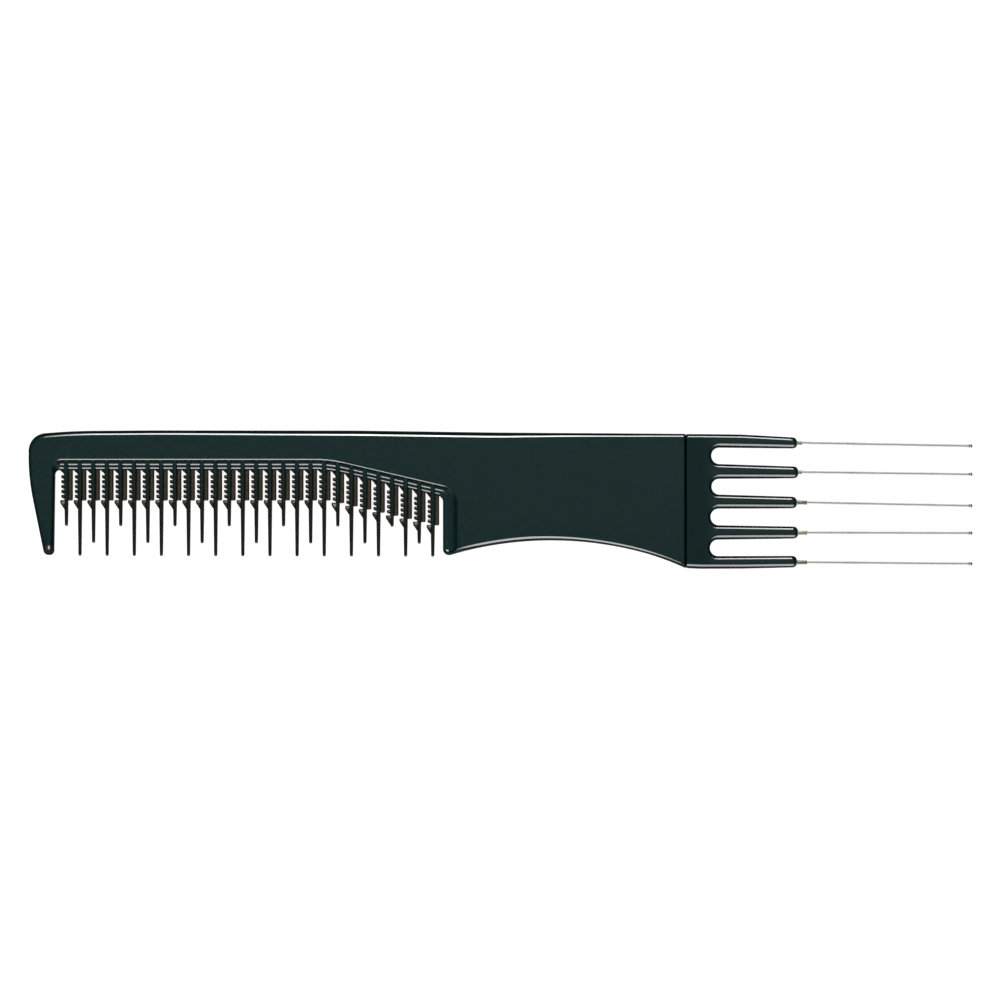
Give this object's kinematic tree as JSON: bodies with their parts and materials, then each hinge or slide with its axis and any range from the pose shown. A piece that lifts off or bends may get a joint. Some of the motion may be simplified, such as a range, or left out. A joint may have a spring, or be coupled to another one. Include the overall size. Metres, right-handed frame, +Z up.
{
  "type": "teasing comb",
  "caption": "Flat salon teasing comb with staggered micro-toothed teeth, a broad guard tooth, a waisted handle and a lifting fork of slim metal prongs.",
  "frame": {"origin": "below the middle of the comb's outer box, on the surface that the flat underside rests on", "axes": "+X along the comb towards the prong tips, -Y the way the teeth point, +Z up out of the upper face"},
  "size_m": [0.2, 0.0292, 0.004],
  "materials": {
    "blade_plastic": "polished green-black moulding",
    "fork_plastic": "polished green-black moulding",
    "ferrule_metal": "dull grey-brown brass, crimped",
    "prong_steel": "drawn bright steel wire"
  },
  "bodies": {
    "root": {"comb_blade": "blade_plastic", "prong_fork": "fork_plastic", "ferrule_1": "ferrule_metal", "ferrule_2": "ferrule_metal", "ferrule_3": "ferrule_metal", "ferrule_4": "ferrule_metal", "ferrule_5": "ferrule_metal", "prong_1": "prong_steel", "prong_2": "prong_steel", "prong_3": "prong_steel", "prong_4": "prong_steel", "prong_5": "prong_steel"}
  },
  "joints": []
}
